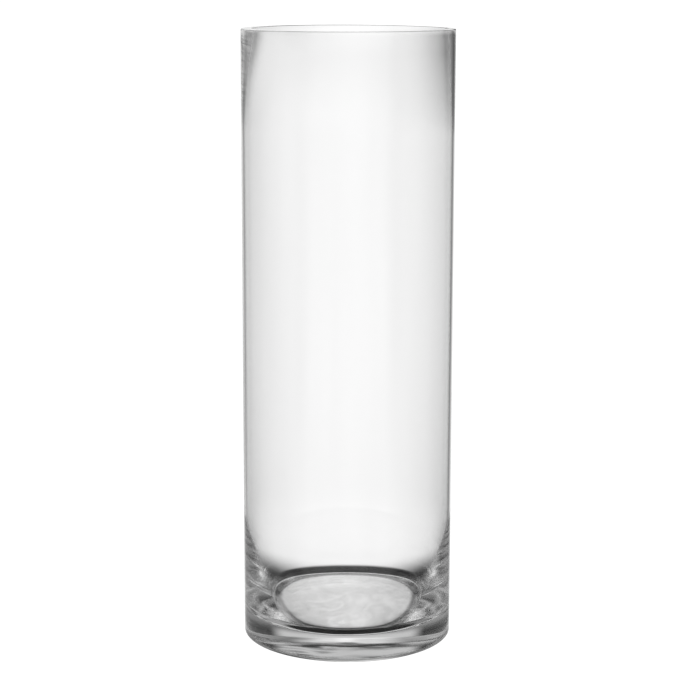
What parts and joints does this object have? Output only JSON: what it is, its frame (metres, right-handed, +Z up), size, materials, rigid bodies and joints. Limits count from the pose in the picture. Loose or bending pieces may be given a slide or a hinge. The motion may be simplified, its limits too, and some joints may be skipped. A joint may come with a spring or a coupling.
{
  "type": "glass cylinder vase",
  "caption": "Tall straight-sided clear glass cylinder vase with a heavy base, a thin wall and a flat-topped fire-polished rim, for cut flowers or a floating candle.",
  "frame": {"origin": "centre of the flat ring the vase stands on, at table level", "axes": "+Z up along the vase's axis, from the base to the open mouth; the vase is turned, so +X and +Y are any two directions across it"},
  "size_m": [0.102, 0.102, 0.297],
  "materials": {
    "clear_glass": "clear colourless soda-lime glass, fire polished, glossy inside and out"
  },
  "bodies": {
    "root": {"vase_body": "clear_glass"}
  },
  "joints": []
}
